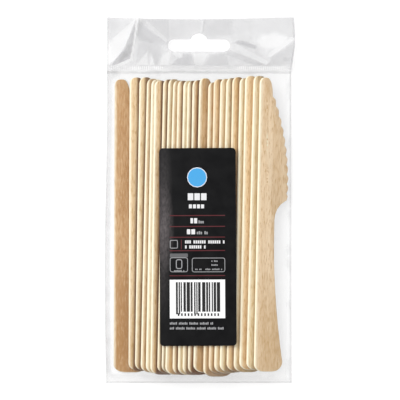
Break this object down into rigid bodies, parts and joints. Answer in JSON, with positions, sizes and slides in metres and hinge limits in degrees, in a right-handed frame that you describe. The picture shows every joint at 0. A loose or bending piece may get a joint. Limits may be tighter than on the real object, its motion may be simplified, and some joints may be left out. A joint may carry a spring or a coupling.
{
  "type": "wooden cutlery pack",
  "caption": "Clear film header bag of flat birch wood knives fanned side by side, with a black label on the front and a euro slot above.",
  "frame": {"origin": "middle of the pack's box, at the height of what it lies on", "axes": "+Y from the foot of the bag to its hanging strip, +Z out of the front with the label, +X to the right seen from the front"},
  "size_m": [0.104, 0.1994, 0.018],
  "materials": {
    "birch": "bare rotary-cut birch, fine grain, matt",
    "birch_end": "bare birch, a darker piece, matt",
    "film": "clear glossy polypropylene film",
    "label": "satin black label"
  },
  "bodies": {
    "root": {"knife_01": "birch_end", "knife_02": "birch", "knife_03": "birch", "knife_04": "birch", "knife_05": "birch", "knife_06": "birch", "knife_07": "birch", "knife_08": "birch", "knife_09": "birch", "knife_10": "birch", "knife_11": "birch", "knife_12": "birch", "knife_13": "birch", "knife_14": "birch", "knife_15": "birch", "knife_16": "birch", "knife_17": "birch", "knife_18": "birch", "knife_19": "birch", "knife_20": "birch", "knife_21": "birch", "knife_22": "birch", "knife_23": "birch", "knife_24": "birch", "knife_25": "birch", "film_bag": "film", "label": "label"}
  },
  "joints": []
}
